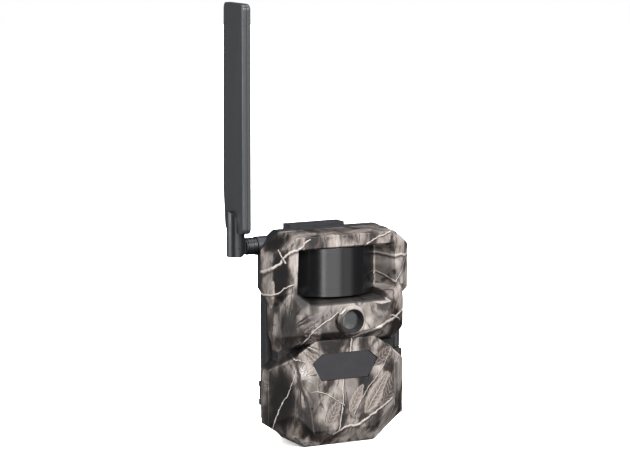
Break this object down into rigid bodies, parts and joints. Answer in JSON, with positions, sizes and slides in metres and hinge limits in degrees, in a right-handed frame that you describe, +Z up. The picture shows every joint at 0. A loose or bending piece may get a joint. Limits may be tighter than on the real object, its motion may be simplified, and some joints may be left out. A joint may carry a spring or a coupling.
{
  "type": "trail camera",
  "caption": "Two-half hinged camouflaged trail camera with a curved motion window, lens, infrared window, side latch and a tilting, swivelling paddle antenna.",
  "frame": {"origin": "mouth of the tripod insert, in the middle of the underside", "axes": "+Z up, the lens faces -Y, +X is to the right when the camera is seen from in front"},
  "size_m": [0.1217, 0.0754, 0.2889],
  "materials": {
    "camo_plastic": "matt moulded ABS with a printed bark and leaf camouflage",
    "shell_plastic": "fine spark-eroded texture",
    "black_plastic": "moulded, lightly textured",
    "window_plastic": "satin, infrared-transparent polyethylene",
    "infrared_plastic": "satin smoked acrylic",
    "lens_glass": "coated optical glass",
    "filter_glass": "blue-green coated filter glass",
    "circuit_board": "green solder resist",
    "chip": "moulded epoxy",
    "lamp_resin": "clear epoxy lamp bodies",
    "steel": "zinc plated",
    "brass": "turned, gold coloured",
    "screen": "glossy screen face",
    "key_plastic": "silicone keys",
    "ok_plastic": "orange silicone key",
    "switch_plastic": "pale moulded plastic",
    "rubber": "matt black",
    "cell_jacket": "printed battery sleeve",
    "antenna_plastic": "satin grey moulded polyurethane"
  },
  "bodies": {
    "rear_half": {"rear_case": "shell_plastic", "case_gasket": "rubber", "tripod_insert": "brass", "battery_tray": "black_plastic", "battery_terminals": "steel", "aa_cells": "cell_jacket", "tray_screws": "steel", "contact_block": "black_plastic", "contact_pins": "brass", "modem_board": "circuit_board", "modem_shield": "steel", "antenna_jack": "brass", "jack_nut": "steel", "coax_lead": "rubber", "dc_jack": "black_plastic", "latch_pin": "steel", "hinge_pin": "steel"},
    "front_half": {"front_housing": "camo_plastic", "lens_bezel": "camo_plastic", "lens_cover_glass": "lens_glass", "lens_barrel": "black_plastic", "front_lens_element": "lens_glass", "filter_carrier": "black_plastic", "image_sensor": "chip", "sensor_board": "circuit_board", "pir_window": "window_plastic", "pir_sensor": "steel", "pir_board": "circuit_board", "ir_window": "infrared_plastic", "lamp_board": "circuit_board", "ir_lamps": "lamp_resin", "main_board": "circuit_board", "board_components": "chip", "microphone": "steel", "inner_panel": "black_plastic", "lcd_screen": "screen", "mode_switch_body": "black_plastic", "card_slot": "steel", "sim_slot": "steel", "contact_pads": "brass", "panel_screws": "steel", "board_screws": "steel"},
    "latch": {"latch_lever": "shell_plastic"},
    "plug": {"port_plug": "rubber"},
    "nut": {"antenna_nut": "black_plastic"},
    "neck": {"antenna_neck": "black_plastic"},
    "blade": {"antenna_knuckle": "black_plastic", "blade_outer_half": "antenna_plastic", "blade_inner_half": "antenna_plastic", "antenna_radiator": "circuit_board"},
    "menu_button": {"menu_button": "key_plastic"},
    "ok_button": {"ok_button": "ok_plastic"},
    "up_button": {"up_button": "key_plastic"},
    "down_button": {"down_button": "key_plastic"},
    "left_button": {"left_button": "key_plastic"},
    "right_button": {"right_button": "key_plastic"},
    "mode_switch": {"mode_switch": "switch_plastic"},
    "memory_card": {"memory_card": "black_plastic"},
    "sim_card": {"sim_card": "switch_plastic"},
    "ir_cut_filter": {"ir_cut_filter": "filter_glass"}
  },
  "joints": [
    {"name": "case_hinge", "type": "hinge", "parent": "rear_half", "child": "front_half", "pos_m": [0.0506, -0.0082, 0.078], "axis": [0, 0, 1], "range_deg": [0, 105]},
    {"name": "latch_swing", "type": "hinge", "parent": "rear_half", "child": "latch", "pos_m": [-0.0473, -0.0052, 0.0346], "axis": [0, 0, -1], "range_deg": [0, 100]},
    {"name": "port_plug_flap", "type": "hinge", "parent": "rear_half", "child": "plug", "pos_m": [0.017, -0.0016, 0.0005], "axis": [-1, 0, 0], "range_deg": [0, 100]},
    {"name": "antenna_nut_turn", "type": "hinge", "parent": "rear_half", "child": "nut", "pos_m": [-0.052, 0.0015, 0.131], "axis": [-1, 0, 0], "continuous": true},
    {"name": "antenna_swivel", "type": "hinge", "parent": "rear_half", "child": "neck", "pos_m": [-0.0555, 0.0015, 0.131], "axis": [-1, 0, 0], "continuous": true},
    {"name": "antenna_tilt", "type": "hinge", "parent": "neck", "child": "blade", "pos_m": [-0.0622, 0.0015, 0.131], "axis": [0, 1, 0], "range_deg": [-90, 0]},
    {"name": "menu_button_press", "type": "slide", "parent": "front_half", "child": "menu_button", "axis": [0, -1, 0], "range_m": [0, 0.0008], "stiffness_N_per_m": 600},
    {"name": "ok_button_press", "type": "slide", "parent": "front_half", "child": "ok_button", "axis": [0, -1, 0], "range_m": [0, 0.0008], "stiffness_N_per_m": 600},
    {"name": "up_button_press", "type": "slide", "parent": "front_half", "child": "up_button", "axis": [0, -1, 0], "range_m": [0, 0.0008], "stiffness_N_per_m": 600},
    {"name": "down_button_press", "type": "slide", "parent": "front_half", "child": "down_button", "axis": [0, -1, 0], "range_m": [0, 0.0008], "stiffness_N_per_m": 600},
    {"name": "left_button_press", "type": "slide", "parent": "front_half", "child": "left_button", "axis": [0, -1, 0], "range_m": [0, 0.0008], "stiffness_N_per_m": 600},
    {"name": "right_button_press", "type": "slide", "parent": "front_half", "child": "right_button", "axis": [0, -1, 0], "range_m": [0, 0.0008], "stiffness_N_per_m": 600},
    {"name": "mode_switch_slide", "type": "slide", "parent": "front_half", "child": "mode_switch", "axis": [0, 0, 1], "range_m": [-0.004, 0.004]},
    {"name": "memory_card_slide", "type": "slide", "parent": "front_half", "child": "memory_card", "axis": [0, 1, 0], "range_m": [0, 0.004]},
    {"name": "sim_card_slide", "type": "slide", "parent": "front_half", "child": "sim_card", "axis": [0, 1, 0], "range_m": [0, 0.004]},
    {"name": "ir_filter_slide", "type": "slide", "parent": "front_half", "child": "ir_cut_filter", "axis": [-1, 0, 0], "range_m": [0, 0.009]}
  ]
}
